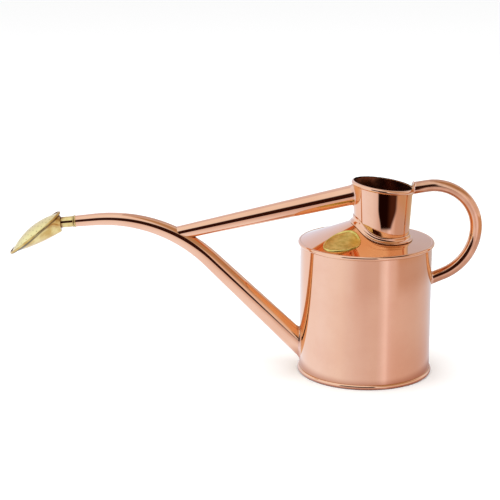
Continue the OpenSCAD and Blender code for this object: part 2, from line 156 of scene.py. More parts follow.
# ---------------------------------------------------------------- mesh helpers
def make_mesh(name, verts, faces, crease=32):
    """A smooth-shaded object from points in millimetres; edges sharper than the crease angle stay sharp."""
    mesh = bpy.data.meshes.new(name)
    mesh.from_pydata([tuple(v) for v in np.asarray(verts, float) * MM], [], faces)
    mesh.validate()
    work = bmesh.new()
    work.from_mesh(mesh)
    bmesh.ops.recalc_face_normals(work, faces=work.faces)
    work.to_mesh(mesh)
    work.free()
    mesh.shade_smooth()
    mesh.set_sharp_from_angle(angle=math.radians(crease))
    obj = bpy.data.objects.new(name, mesh)
    bpy.context.scene.collection.objects.link(obj)
    return obj


def skin(name, rings, loop=False, crease=32, inside_from=None):
    """A closed surface through rings of equal point count.

    A loop joins the last ring to the first, else each end is capped.  Faces from the ring inside_from on are
    the unpolished inside, in the piece's second material.
    """
    n, m = len(rings), len(rings[0])
    verts = np.concatenate(rings)
    faces = [(i * m + j, i * m + (j + 1) % m, (i + 1) % n * m + (j + 1) % m, (i + 1) % n * m + j)
             for i in range(n if loop else n - 1) for j in range(m)]
    if not loop:
        for row in (0, n - 1):
            verts = np.vstack([verts, np.asarray(rings[row]).mean(0)])
            faces += [(row * m + j, row * m + (j + 1) % m, len(verts) - 1) for j in range(m)]
    obj = make_mesh(name, verts, faces, crease)
    if inside_from is not None:
        for face in obj.data.polygons[inside_from * m:]:
            face.material_index = 1
    return obj


def shade(obj, values):
    """Stores how much painted shade each point gets, from 0 to 1, for the piece's material."""
    obj.data.attributes.new("shade", "FLOAT", "POINT").data.foreach_set("value", np.clip(values, 0, 1))
    return obj


def lathe_rings(profile, place, n):
    """Rings of a profile of (radius, height) turned about an axis, which place maps to the frame."""
    a = turn(n)
    return [place(r * cos(a), r * sin(a), np.full(n, z)) for r, z in profile]


def arc(cx, cz, r, start, end, n):
    """Points of an arc in a profile, as (radius, height)."""
    return [(cx + r * cos(a), cz + r * sin(a)) for a in np.linspace(start, end, n)]


def upright(x, y, z):
    """Points about the drum's axis."""
    return np.stack([x, y, z], 1)


def unit(v):
    """Each vector at length 1."""
    return v / np.linalg.norm(v, axis=1, keepdims=True)


def meet(points, way, gap, reach=70.0):
    """Where lines from the points along way come to the surface whose gap function falls to nothing."""
    lo, hi = np.zeros(len(points)), np.full(len(points), reach)
    for _ in range(40):
        mid = (lo + hi) / 2
        outside = gap(points + mid[:, None] * way) > 0
        lo, hi = np.where(outside, mid, lo), np.where(outside, hi, mid)
    return points + lo[:, None] * way


def tube_ring(centre, slope, r, n):
    """A ring square to a line in the XZ plane that rises at the slope towards -X."""
    a = turn(n)
    x = centre[0] + r * cos(a) * sin(slope)
    z = centre[1] + r * cos(a) * cos(slope)
    return np.stack([x, r * sin(a), z], 1)


def between(a, b, n):
    """n rings from ring a up to, but not including, ring b."""
    return [a + (b - a) * t for t in np.arange(n) / n]


# ---------------------------------------------------------------- surfaces that the pieces share
def neck_r(z):
    """The neck's outer radius at a height."""
    return NECK_BASE_D / 2 + NECK_FLARE / 2 / NECK_H * (z - RIM_Z)


def drum_gap(p):
    """How far points are outside the drum."""
    return np.hypot(p[:, 0], p[:, 1]) - DRUM_R


def neck_gap(p):
    """How far points are outside the neck, level with them."""
    return np.hypot(p[:, 0] - NECK_X, p[:, 1]) - neck_r(p[:, 2])


def at_mouth(x, y, z):
    """From the mouth's tilted plane to the frame."""
    return np.stack([NECK_X + x * cos(MOUTH_TILT) + z * sin(MOUTH_TILT), y,
                     MOUTH_Z - x * sin(MOUTH_TILT) + z * cos(MOUTH_TILT)], 1)


# The cover is a fan of straight lines from the neck down to the rim.  The fan's pole is at FAN_X, psi is a
# line's angle from -X towards -Y, and rho is the distance from the pole.
def fan_to_circle(psi, cx, r):
    """rho where the fan's line at psi comes to a circle about cx."""
    off = FAN_X - cx
    along = off * cos(psi)
    return along + np.sqrt(along * along + r * r - off * off)


def breast_h(psi):
    """How high the cover stands above the rim where it meets the neck: an arch towards the spout."""
    return COVER_BACK_H + (RIDGE_H - COVER_BACK_H) / (1 + (abs(psi) / RIDGE_SPREAD) ** 4)


def to_neck(psi, grow=0.0):
    return fan_to_circle(psi, NECK_X, neck_r(RIM_Z + breast_h(psi)) + grow)


def to_rim(psi):
    return fan_to_circle(psi, 0, DRUM_R)


def cover_z(psi, rho):
    inner = to_neck(psi)
    return RIM_Z + breast_h(psi) * (to_rim(psi) - rho) / (to_rim(psi) - inner)


def fan_point(psi, rho, dz):
    """Points dz above the cover."""
    return np.stack([FAN_X - rho * cos(psi), -rho * sin(psi), cover_z(psi, rho) + dz], 1)


def on_cover(x, y, dz):
    """Points dz above the cover over x and y."""
    return fan_point(np.degrees(np.arctan2(-y, FAN_X - x)), np.hypot(FAN_X - x, y), dz)


# the spout's centre line: straight up from the drum, a bend, and a short tip, as x and z
BEND_L = math.radians(SPOUT_RISE + TIP_DROP) * SPOUT_BEND_R
SPOUT_L = SPOUT_STRAIGHT + BEND_L + SPOUT_TIP_L
BEND_START = np.array([-DRUM_R - SPOUT_STRAIGHT * cos(SPOUT_RISE),
                       SPOUT_ROOT_Z + SPOUT_STRAIGHT * sin(SPOUT_RISE)])
BEND_MID = BEND_START - SPOUT_BEND_R * np.array([sin(SPOUT_RISE), cos(SPOUT_RISE)])
BEND_END = BEND_MID + SPOUT_BEND_R * np.array([-sin(TIP_DROP), cos(TIP_DROP)])


def heading(s):
    """How steeply the spout rises, s along it."""
    return SPOUT_RISE - math.degrees(min(max(s - SPOUT_STRAIGHT, 0), BEND_L) / SPOUT_BEND_R)


def spout_at(s):
    if s <= SPOUT_STRAIGHT:
        return BEND_START + (SPOUT_STRAIGHT - s) * np.array([cos(SPOUT_RISE), -sin(SPOUT_RISE)])
    if s <= SPOUT_STRAIGHT + BEND_L:
        return BEND_MID + SPOUT_BEND_R * np.array([sin(heading(s)), cos(heading(s))])
    return BEND_END - (s - SPOUT_STRAIGHT - BEND_L) * np.array([cos(TIP_DROP), sin(TIP_DROP)])


def spout_r(s):
    """The spout's outer radius: a taper, a little fuller half-way."""
    u = min(max(s / SPOUT_L, 0), 1)
    return (SPOUT_ROOT_D * (1 - u) + SPOUT_TIP_D * u) / 2 + SPOUT_SWELL * 2 * u * (1 - u)


# x, z and radius at close steps along the spout
SPOUT_LINE = np.array([(*spout_at(s), spout_r(s)) for s in np.linspace(0, SPOUT_L, 1200)])


def spout_gap(p):
    """How far points are outside the spout."""
    x, z, r = SPOUT_LINE.T
    away = np.sqrt((p[:, None, 0] - x) ** 2 + p[:, None, 1] ** 2 + (p[:, None, 2] - z) ** 2)
    return (away - r).min(1)


TIP = spout_at(SPOUT_L)


def at_tip(x, y, z):
    """From the tip's own frame, with z out of the tip and x up, to the frame."""
    return np.stack([TIP[0] - z * cos(TIP_DROP) - x * sin(TIP_DROP), y,
                     TIP[1] - z * sin(TIP_DROP) + x * cos(TIP_DROP)], 1)


# ---------------------------------------------------------------- drum
def drum_shell():
    foot, top, inner = HEM_H - FOOT_LAP, RIM_Z - SHEET, DRUM_R - SHEET
    outside = [(DRUM_R, z) for z in (foot, 30, 60, 90, top)]
    inside = [(inner, z) for z in (top, 60, foot)]
    rings = lathe_rings(outside + inside, upright, DRUM_SIDES)
    return skin("drum_shell", rings, loop=True, inside_from=len(outside))


def foot_hem():
    """The rolled hem that the can stands on: a bead outside, and a flat return under the wall."""
    bulge, inset = 0.2, 0.6
    inner, seat = DRUM_R - HEM_REACH, DRUM_R - SEAT_GAP
    whole = arc(DRUM_R - inset, HEM_H / 2, HEM_H / 2 + bulge, -100, 115, 26)
    bead = [(r, z) for r, z in whole if 0 <= z <= HEM_H]
    profile = [(inner, 0.0), (bead[0][0], 0.0)] + bead + [(bead[-1][0], HEM_H), (seat, HEM_H)]
    profile += [(seat, HEM_T), (inner, HEM_T)]
    return skin("foot_hem", lathe_rings(profile, upright, DRUM_SIDES), loop=True)


def rim_wire():
    out, drop, lap = 0.2, RIM_WIRE_D * 0.44, 0.7
    ring = arc(DRUM_R + out, RIM_Z - drop, RIM_WIRE_D / 2, 0, 360, 29)[:-1]
    profile = [(max(r, DRUM_R - lap), z) for r, z in ring]
    return skin("rim_wire", lathe_rings(profile, upright, DRUM_SIDES), loop=True)


# ---------------------------------------------------------------- cover and neck
def cover_sheet():
    psi = turn(COVER_SIDES) - 180
    inner, rim = to_neck(psi, SEAT_GAP), to_rim(psi) - SEAT_GAP
    shares = np.linspace(0, 1, 25)
    top = [fan_point(psi, inner + (rim - inner) * k, 0) for k in shares]
    under = [fan_point(psi, inner + (rim - inner) * k, -SHEET) for k in shares[::-1]]
    return skin("cover_sheet", top + under, loop=True, inside_from=len(top))


def neck_sheet():
    a = turn(NECK_SIDES)
    head = MOUTH_WIRE_D * 0.3      # the sheet ends this far up in the mouth's wire

    def cone(z, grow):
        r = neck_r(z) + grow
        return np.stack([NECK_X + r * cos(a), r * sin(a), z], 1)

    def edge(grow):
        """Heights round the sloping mouth, settled in steps, as radius and height depend on each other."""
        z = np.full(len(a), MOUTH_Z)
        for _ in range(20):
            r = neck_r(z) + grow
            z = MOUTH_Z + head / cos(MOUTH_TILT) - r * cos(a) * math.tan(math.radians(MOUTH_TILT))
        return z

    rings = []
    for grow, order in ((0, 1), (-SHEET, -1)):
        foot, top = np.full(len(a), RIM_Z - NECK_TAIL), edge(grow)
        rings += [cone(foot + (top - foot) * t, grow) for t in np.linspace(0, 1, 13)[::order]]
    return skin("neck_sheet", rings, loop=True, inside_from=len(rings) // 2)


def mouth_wire():
    wall = NECK_MOUTH_D / 2 - SHEET / 2
    ring = arc(NECK_MOUTH_D / 2 - MOUTH_WIRE_D * 0.18, 0, MOUTH_WIRE_D / 2, 0, 360, 33)[:-1]
    profile = [(max(r, wall), z) for r, z in ring]
    return skin("mouth_wire", lathe_rings(profile, at_mouth, MOUTH_SIDES), loop=True)


def smooth_profile(points, n):
    """A rounded line through the points, n steps to each stretch."""
    p = np.array([points[0]] + list(points) + [points[-1]], float)
    t = np.linspace(0, 1, n, endpoint=False)[:, None]
    out = [0.5 * (2 * b + (c - a) * t + (2 * a - 5 * b + 4 * c - d) * t ** 2
                  + (3 * b - a - 3 * c + d) * t ** 3)
           for a, b, c, d in zip(p, p[1:], p[2:], p[3:])]
    return np.vstack(out + [p[-1:]])


def collar():
    """The flared collar round the neck's foot: its profile runs from the cover up the neck."""
    foot = 0.1
    curve = [(COLLAR_W, foot), (COLLAR_W + 0.35, 0.7), (COLLAR_W, 1.5), (COLLAR_W * 0.62, 2.1),
             (COLLAR_W * 0.38, 3), (COLLAR_W * 0.3, COLLAR_H - 0.5), (COLLAR_W * 0.16, COLLAR_H)]
    profile = [(SEAT_GAP, foot)] + [tuple(q) for q in smooth_profile(curve, 4)] + [(SEAT_GAP, COLLAR_H)]
    psi = turn(COVER_SIDES) - 180

    def at(out, up):
        rho, rim = to_neck(psi, out), to_rim(psi)
        z = cover_z(psi, np.minimum(rho, rim)) + up
        rho = fan_to_circle(psi, NECK_X, neck_r(z) + out)
        return np.stack([FAN_X - rho * cos(psi), -rho * sin(psi), z], 1)

    return skin("collar", [at(*q) for q in profile], loop=True)


def plaque():
    """The blank oval plate on the cover, with a raised border round a flat field."""
    border, lift, centre = 1.4, 0.15, 0.02
    field = PLAQUE_T * 0.6
    a = turn(128)
    rho = to_neck(PLAQUE_PSI) + PLAQUE_SHARE * (to_rim(PLAQUE_PSI) - to_neck(PLAQUE_PSI))
    mid = fan_point(np.array([PLAQUE_PSI]), np.array([rho]), 0)[0]

    def edge(k, dz):
        u, v = k * PLAQUE_L / 2 * cos(a), k * PLAQUE_W / 2 * sin(a)
        return on_cover(mid[0] + u * cos(PLAQUE_TURN) - v * sin(PLAQUE_TURN),
                        mid[1] + u * sin(PLAQUE_TURN) + v * cos(PLAQUE_TURN), dz)

    inset = 1 - 2 * border / PLAQUE_L - 0.03
    top = [edge(k, field) for k in np.linspace(centre, inset, 14)]
    lip = [edge(inset + (1 - inset) * t, field + (PLAQUE_T - field) * math.sin(math.pi * t) ** 0.6)
           for t in np.linspace(0.08, 0.92, 9)]
    side = [edge(1, PLAQUE_T * 0.45)]
    under = [edge(k, lift) for k in np.linspace(1, centre, 10)]
    return skin("plaque", top + lip + side + under, crease=50)


# ---------------------------------------------------------------- spout, brace and handle
SPOUT_DIR = np.array([cos(SPOUT_RISE), 0, -sin(SPOUT_RISE)])     # towards the drum


def spout_tube():
    clear = 11.0                   # from here on a ring stands clear of the drum
    bend = SPOUT_STRAIGHT + np.linspace(0, BEND_L, 96)[1:]
    stations = np.concatenate([np.linspace(clear, SPOUT_STRAIGHT, 24), bend, [SPOUT_L - 6, SPOUT_L]])

    def wall(grow):
        rings = [tube_ring(spout_at(s), heading(s), spout_r(s) + grow, SPOUT_SIDES) for s in stations]
        root = tube_ring(spout_at(clear), SPOUT_RISE, spout_r(0) + grow, SPOUT_SIDES)
        return between(meet(root, SPOUT_DIR, drum_gap), rings[0], 6) + rings

    return skin("spout_tube", wall(0) + wall(-SHEET)[::-1], loop=True)


BRACE_FOOT = np.array([spout_at(BRACE_STATION)[0], 0, spout_at(BRACE_STATION)[1]])
BRACE_HEAD = np.array([NECK_X - neck_r(BRACE_NECK_Z), 0, BRACE_NECK_Z])
BRACE_L = np.linalg.norm(BRACE_HEAD - BRACE_FOOT)
BRACE_DIR = (BRACE_HEAD - BRACE_FOOT) / BRACE_L
BRACE_ANGLE = math.degrees(math.atan2(BRACE_DIR[2], BRACE_DIR[0]))


def brace_ring(t, grow):
    """A ring of the brace at the share t of its length from the spout to the neck."""
    centre = BRACE_FOOT + (BRACE_HEAD - BRACE_FOOT) * t
    r = (BRACE_SPOUT_D * (1 - t) + BRACE_NECK_D * t) / 2 + grow
    return tube_ring((centre[0], centre[2]), -BRACE_ANGLE, r, BRACE_SIDES)


def brace_tapered():
    def wall(grow):
        near_spout, near_neck = brace_ring(0.16, grow), brace_ring(0.9, grow)
        root = meet(near_spout, unit(brace_ring(0.0, grow) - near_spout), spout_gap, 22)
        head = meet(near_neck, unit(near_neck - brace_ring(0.8, grow)), neck_gap)
        return (between(root, near_spout, 8) + between(near_spout, near_neck, 16)
                + between(near_neck, head, 4) + [head])

    return skin("brace_tapered", wall(0) + wall(-SHEET)[::-1], loop=True)


HANDLE_R = HANDLE_D / 2
HANDLE_MID_TOP = np.array([DRUM_R + HANDLE_REACH - HANDLE_TOP_R, HANDLE_Z])
HANDLE_MID_LOW = np.array([DRUM_R + HANDLE_REACH - HANDLE_LOW_R, HANDLE_Z])
TOP_DIR = np.array([-cos(HANDLE_TOP_SLOPE), 0, -sin(HANDLE_TOP_SLOPE)])    # from the bend to the neck
LOW_DIR = np.array([-cos(HANDLE_LOW_SLOPE), 0, -sin(HANDLE_LOW_SLOPE)])    # from the bend to the drum


def handle_ring(mid, r, h, tube_r=HANDLE_R):
    """A ring where the handle's bend of radius r has the heading h, with +X as heading nothing."""
    a = turn(HANDLE_SIDES)
    x, z = mid[0] - r * sin(h), mid[1] + r * cos(h)
    return np.stack([x - tube_r * cos(a) * sin(h), tube_r * sin(a), z + tube_r * cos(a) * cos(h)], 1)


def handle_loop():
    top = [handle_ring(HANDLE_MID_TOP, HANDLE_TOP_R, h) for h in np.linspace(HANDLE_TOP_SLOPE, -90, 64)]
    low = [handle_ring(HANDLE_MID_LOW, HANDLE_LOW_R, h)
           for h in np.linspace(-90, HANDLE_LOW_SLOPE - 180, 44)[1:]]
    at_neck = meet(top[0], TOP_DIR, neck_gap)
    at_drum = meet(low[-1], LOW_DIR, drum_gap)
    return skin("handle_loop", between(at_neck, top[0], 5) + top + low[:-1]
                + between(low[-1], at_drum, 6) + [at_drum])


def fillet(name, ring, grown, way, gap, w):
    """A hollow-sided fillet of solder where a tube meets a wall.

    ring goes round the tube and grown is w wider, both clear of the wall, and way points to the wall.
    """
    rings = [meet(ring, way, gap), meet(grown, way, gap)]
    for t in np.linspace(0.1, 1, 9):
        line = ring + (grown - ring) * (1 - t) ** 2
        rings.append(meet(line, way, gap) - way * (2 * w * t ** 2))
    return skin(name, rings, loop=True, crease=70)


def spout_fillet():
    w, outside = 1.7, 30
    c, r = spout_at(outside), spout_r(0)
    return fillet("spout_fillet", tube_ring(c, SPOUT_RISE, r, SPOUT_SIDES),
                  tube_ring(c, SPOUT_RISE, r + w, SPOUT_SIDES), SPOUT_DIR, drum_gap, w)


def brace_fillet():
    w, outside = 1.4, 30
    x, _, z = BRACE_HEAD - outside * BRACE_DIR
    r = BRACE_NECK_D / 2
    return fillet("brace_fillet", tube_ring((x, z), -BRACE_ANGLE, r, BRACE_SIDES),
                  tube_ring((x, z), -BRACE_ANGLE, r + w, BRACE_SIDES), BRACE_DIR, neck_gap, w)


def handle_fillet(name, mid, r, h, way, gap):
    w = 1.1
    return fillet(name, handle_ring(mid, r, h), handle_ring(mid, r, h, HANDLE_R + w), way, gap, w)


def handle_top_fillet():
    return handle_fillet("handle_top_fillet", HANDLE_MID_TOP, HANDLE_TOP_R, HANDLE_TOP_SLOPE, TOP_DIR,
                         neck_gap)


def handle_low_fillet():
    return handle_fillet("handle_low_fillet", HANDLE_MID_LOW, HANDLE_LOW_R, HANDLE_LOW_SLOPE - 180, LOW_DIR,
                         drum_gap)


# ---------------------------------------------------------------- rose
FACE_A, FACE_B = (ROSE_L - ROSE_WIRE_D) / 2, (ROSE_W - ROSE_WIRE_D) / 2
FACE_DIR = np.array([-sin(ROSE_TILT), cos(ROSE_TILT)])
FACE_OUT = np.array([cos(ROSE_TILT), sin(ROSE_TILT)])
FACE_MID = np.array([ROSE_TOP, ROSE_Z]) + ROSE_L / 2 * FACE_DIR


def face_ring(a, semi_l, semi_w, out):
    """Points round the oval face at the angles a, out along its normal, in the tip's frame."""
    p = FACE_MID[None] - (semi_l * cos(a))[:, None] * FACE_DIR + np.asarray(out)[..., None] * FACE_OUT
    return p[:, 0], semi_w * sin(a), p[:, 1]


def rose_cup():
    """The rose's inlet tube, with a rounded lip at its mouth; its wall is a hair inside the CAD's."""
    hair, lip_r, lip_z = 0.05, 0.45, SOCKET_Z + 0.5
    bore, outer = SOCKET_D / 2 - SOCKET_WALL, SOCKET_D / 2 - hair
    lip = arc(outer, lip_z, lip_r, -150, 90, 12)
    profile = [(bore, SOCKET_Z + 0.3)] + lip + [(outer, SOCKET_Z + 1.0), (outer, ROSE_Z), (bore, ROSE_Z)]
    return skin("rose_cup", lathe_rings(profile, at_tip, CUP_SIDES), loop=True)


def rose_cone():
    """The rose's back, drawn out from a round rear wall to the oval rim, with painted shade just under the
    rim.
    """
    a = turn(CONE_SIDES)
    sink = 0.8                     # the back ends this far behind the face's plane

    def wall(t, inset):
        p = np.stack([(REAR_R - inset) * cos(a) - REAR_DROP, (REAR_R - inset) * sin(a),
                      np.full(len(a), ROSE_Z + inset)], 1)
        q = np.stack(face_ring(a, FACE_A - RIM_LAP - inset, FACE_B - RIM_LAP - inset, -sink), 1)
        bulge = REAR_BULGE * 4 * t * (1 - t)
        out = np.stack([np.minimum(cos(a), 0), 0.6 * sin(a), np.zeros(len(a))], 1)
        return at_tip(*(p * (1 - t) + q * t + bulge * out).T)

    inlet = [at_tip(SPIGOT_R * cos(a), SPIGOT_R * sin(a), np.full(len(a), z))
             for z in (ROSE_Z, ROSE_Z + SHEET)]
    shares = np.linspace(0, 1, 25)
    outside, inside = [wall(t, 0) for t in shares], [wall(t, SHEET) for t in shares[::-1]]
    cone = skin("rose_cone", [inlet[0]] + outside + inside + [inlet[1]], loop=True)
    # painted shade: the back's last rings, just under the rim, turn dark
    under_rim_shade = np.concatenate([[0], (shares - 0.84) / 0.08, np.zeros(len(inside) + 1)])
    return shade(cone, np.repeat(under_rim_shade, len(a)))


def spray_cutter():
    """Short drills through the face, as one mesh: one in the middle, then rings of 6, 12 and so on."""
    sides, below, above = 14, 3, 2
    b, r, rings = turn(sides), SPRAY_D / 2, []
    for k in range(SPRAY_RINGS + 1):
        share = k / (SPRAY_RINGS + 0.8)
        dome = DOME_H * (1 - share ** 2)
        for j in range(max(1, 6 * k)):
            phi = np.array([j * 60 / max(1, k)])
            for out in (dome - below, dome + above):
                x, y, z = face_ring(phi, FACE_A * share, FACE_B * share, out)
                u, v = r * cos(b), r * sin(b)
                rings.append(at_tip(x + u * FACE_DIR[0], y + v, z + u * FACE_DIR[1]))
    faces = []
    for lo in range(0, len(rings) * sides, 2 * sides):
        hi = lo + sides
        faces += [(lo + j, lo + (j + 1) % sides, hi + (j + 1) % sides, hi + j) for j in range(sides)]
        faces += [tuple(range(lo, hi)), tuple(reversed(range(hi, hi + sides)))]
    return make_mesh("spray_cutter", np.concatenate(rings), faces)


def drill(plate, cutter):
    """Takes the cutter out of the plate and deletes it."""
    cut = plate.modifiers.new("holes", "BOOLEAN")
    cut.operation, cut.solver, cut.object = "DIFFERENCE", "EXACT", cutter
    pierced = bpy.data.meshes.new_from_object(plate.evaluated_get(bpy.context.evaluated_depsgraph_get()))
    plate.modifiers.clear()
    plate.data = pierced
    pierced.shade_smooth()
    pierced.set_sharp_from_angle(angle=math.radians(32))
    bpy.data.objects.remove(cutter)


def rose_plate():
    a = turn(ROSE_SIDES)
    wall, centre = 0.7, 0.02

    def dome(k, drop):
        out = DOME_H * (1 - k * k) - drop
        return at_tip(*face_ring(a, (FACE_A - SEAT_GAP) * k, (FACE_B - SEAT_GAP) * k, out))

    shares = np.linspace(centre, 1, 26)
    plate = skin("rose_plate", [dome(k, 0) for k in shares] + [dome(k, wall) for k in shares[::-1]])
    drill(plate, spray_cutter())
    return plate


def rose_edge():
    """The rolled edge round the face, half a wire outside it, with painted shade on its underside."""
    a = turn(ROSE_SIDES)
    r = ROSE_WIRE_D / 2
    length = np.hypot(cos(a) * FACE_B, sin(a) * FACE_A)
    nl, nw = cos(a) * FACE_B / length, sin(a) * FACE_A / length

    def at(out, up):
        p = FACE_MID[None] - (FACE_A * cos(a) + r * out * nl)[:, None] * FACE_DIR + r * up * FACE_OUT
        return at_tip(p[:, 0], FACE_B * sin(a) + r * out * nw, p[:, 1])

    angles = np.linspace(84, -84, 18)
    profile = [(0.02, 0.9)] + [(0.06 + 0.94 * cos(t), 0.94 * sin(t)) for t in angles] + [(0.02, -0.9)]
    edge = skin("rose_edge", [at(*q) for q in profile], loop=True)
    # painted shade, deepest on the edge's underside
    return shade(edge, np.repeat(np.concatenate([[0], (-5 - angles) / 35, [1]]), len(a)))


# ---------------------------------------------------------------- materials
class Nodes:
    """Short calls for building a node tree."""

    def __init__(self, tree):
        tree.nodes.clear()
        self.tree = tree

    def add(self, kind, links=(), **settings):
        """A node with its settings, and each of its links a value or another node's output."""
        node = self.tree.nodes.new(kind)
        for key, value in settings.items():
            setattr(node, key, value)
        for socket, value in dict(links).items():
            if isinstance(value, bpy.types.NodeSocket):
                self.tree.links.new(value, node.inputs[socket])
            else:
                node.inputs[socket].default_value = value
        return node

    def math(self, operation, a, b=0.0):
        return self.add("ShaderNodeMath", {0: a, 1: b}, operation=operation).outputs[0]

    def ramp(self, value, low, high, to_low=0.0, to_high=1.0, smooth=True):
        limits = {"Value": value, "From Min": low, "From Max": high, "To Min": to_low, "To Max": to_high}
        kind = "SMOOTHSTEP" if smooth else "LINEAR"
        return self.add("ShaderNodeMapRange", limits, interpolation_type=kind).outputs["Result"]

    def stops(self, value, colours):
        """A colour ramp with its colours at the given positions from 0 to 1."""
        node = self.add("ShaderNodeValToRGB", {"Fac": value})
        for spot, colour in colours[1:-1]:
            node.color_ramp.elements.new(spot)
        for element, (spot, colour) in zip(node.color_ramp.elements, colours):
            element.position, element.color = spot, (*colour, 1)
        return node.outputs["Color"]

    def mix(self, fac, a, b, blend="MIX"):
        node = self.add("ShaderNodeMix", data_type="RGBA", blend_type=blend)
        for socket, value in ((0, fac), (6, a), (7, b)):
            if isinstance(value, bpy.types.NodeSocket):
                self.tree.links.new(value, node.inputs[socket])
            else:
                node.inputs[socket].default_value = value if socket == 0 else (*value, 1)
        return node.outputs[2]

    def noise(self, vector, scale, detail=3.0, rough=0.5):
        settings = {"Vector": vector, "Scale": scale, "Detail": detail, "Roughness": rough}
        return self.add("ShaderNodeTexNoise", settings).outputs["Fac"]

    def place(self):
        """The point in the object's own frame."""
        return self.add("ShaderNodeTexCoord").outputs["Object"]

    def parts(self, vector):
        """A vector's x, y and z."""
        return self.add("ShaderNodeSeparateXYZ", {0: vector}).outputs

    def bearing(self, x, y):
        """Degrees from -Y towards +X."""
        turned = self.math("ARCTAN2", x, self.math("MULTIPLY", y, -1.0))
        return self.math("MULTIPLY", turned, 180 / math.pi)

    def bump(self, height, distance, normal=None, strength=1.0):
        links = {"Strength": strength, "Distance": distance, "Height": height}
        if normal:
            links["Normal"] = normal
        return self.add("ShaderNodeBump", links).outputs[0]


def new_material(name):
    mat = bpy.data.materials.new(name)
    mat.use_nodes = True
    return mat, Nodes(mat.node_tree)


CORNER_SHADE_TINT = (0.30, 0.16, 0.10)      # what painted shade in a tight corner multiplies a metal's colour by


def metal(name, light, deep, rough, coat=0.0, waviness=0.0, grain=0.0, grain_stretch=(1, 1, 12), mottle=26.0,
          reach=0.0022, corner_shade=(0.80, 0.40), under_rim_shade=None):
    """A sheet metal with the fine lines of polishing.

    Its colour drifts between light and deep, and its roughness between two values.  The sheet is a little
    uneven.  Painted shade darkens its colour in corners within reach, as the open share of the view falls
    from the first of the two given corner limits to the second.  Where a piece has a shade attribute, a
    painted shade colour takes over the colour by that amount.
    """
    mat, n = new_material(name)
    place = n.place()
    drift = n.noise(place, mottle, 4, 0.55)
    stretched = n.add("ShaderNodeMapping", {"Vector": place, "Scale": grain_stretch}).outputs[0]
    lines = n.noise(stretched, 420, 3, 0.6)
    smudge = n.noise(place, 55, 5, 0.6)
    uneven = n.bump(n.noise(place, 17, 1, 0.4), waviness)
    # painted shade: the colour darkens in tight corners, as less of the view round a point is open
    open_share = n.add("ShaderNodeAmbientOcclusion", {"Distance": reach}, samples=6).outputs["AO"]
    colour = n.mix(n.ramp(drift, 0.35, 0.65), light, deep)
    if under_rim_shade:
        colour = n.mix(n.add("ShaderNodeAttribute", attribute_name="shade").outputs["Fac"], colour, under_rim_shade)
    shader = n.add("ShaderNodeBsdfPrincipled", {
        "Base Color": n.mix(n.ramp(open_share, *corner_shade), colour, CORNER_SHADE_TINT, "MULTIPLY"),
        "Metallic": 1.0, "Coat Weight": coat, "Coat Roughness": 0.03, "Coat IOR": 1.5,
        "Roughness": n.ramp(smudge, 0.3, 0.7, *rough), "Normal": n.bump(lines, grain, uneven)})
    n.add("ShaderNodeOutputMaterial", {"Surface": shader.outputs[0]})
    return mat


def rubber():
    mat, n = new_material("seal_rubber")
    speck = n.noise(n.place(), 900, 4)
    shader = n.add("ShaderNodeBsdfPrincipled", {
        "Base Color": n.mix(speck, (0.02, 0.02, 0.02), (0.045, 0.045, 0.045)),
        "Roughness": n.ramp(speck, 0.3, 0.7, 0.5, 0.7), "Normal": n.bump(speck, 0.00005, strength=0.4)})
    n.add("ShaderNodeOutputMaterial", {"Surface": shader.outputs[0]})
    return mat


COPPER = metal("copper", (0.90, 0.51, 0.31), (0.87, 0.47, 0.28), (0.03, 0.06), coat=0.9,
               waviness=0.00010, grain=0.0000003)
TUBE_COPPER = metal("tube_copper", (0.90, 0.51, 0.31), (0.86, 0.46, 0.27), (0.04, 0.08), coat=0.6,
                    waviness=0.00003, grain=0.0000005, grain_stretch=(10, 1, 10))
HANDLE_COPPER = metal("handle_copper", (0.90, 0.50, 0.31), (0.64, 0.32, 0.18), (0.05, 0.11), coat=0.35,
                      waviness=0.00004, grain=0.0000006, grain_stretch=(3, 3, 3), mottle=34)
INSIDE_COPPER = metal("inside_copper", (0.36, 0.12, 0.06), (0.10, 0.03, 0.015), (0.22, 0.36),
                      grain=0.000003, mottle=60)
BASE_COPPER = metal("base_copper", (0.82, 0.48, 0.34), (0.70, 0.38, 0.26), (0.18, 0.32),
                    grain=0.000004, mottle=60)
SOLDER = metal("solder", (0.88, 0.55, 0.40), (0.80, 0.46, 0.32), (0.09, 0.18), waviness=0.0001, mottle=120)
# painted shade for the brass: a deeper darkening in its corners, and a dark brown colour under the rose's
# rim where the shade attribute is set
BRASS = metal("brass", (0.86, 0.66, 0.27), (0.62, 0.38, 0.10), (0.06, 0.14), coat=0.2, waviness=0.0001,
              grain=0.000001, mottle=75, reach=0.006, corner_shade=(0.93, 0.66), under_rim_shade=(0.11, 0.068, 0.018))
FACE_BRASS = metal("face_brass", (0.97, 0.84, 0.40), (0.90, 0.75, 0.33), (0.14, 0.26), grain=0.000002)
PLAQUE_BRASS = metal("plaque_brass", (0.88, 0.70, 0.22), (0.66, 0.50, 0.12), (0.28, 0.42), waviness=0.0002,
                     grain=0.00001, grain_stretch=(1, 1, 1), mottle=220)
RUBBER = rubber()


def dress(obj, mat):
    """Finishes a piece in the material, and its unpolished inner faces in bare copper."""
    inner = [face.index for face in obj.data.polygons if face.material_index]
    obj.data.materials.clear()
    obj.data.materials.append(mat)
    if inner:
        obj.data.materials.append(INSIDE_COPPER)
    for i in inner:
        obj.data.polygons[i].material_index = 1


def place_piece(obj, node, body, slot, mat):
    """The piece stands for the node, rides on the body, and is finished in the material."""
    dress(obj, mat)
    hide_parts(node)
    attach(obj, body)


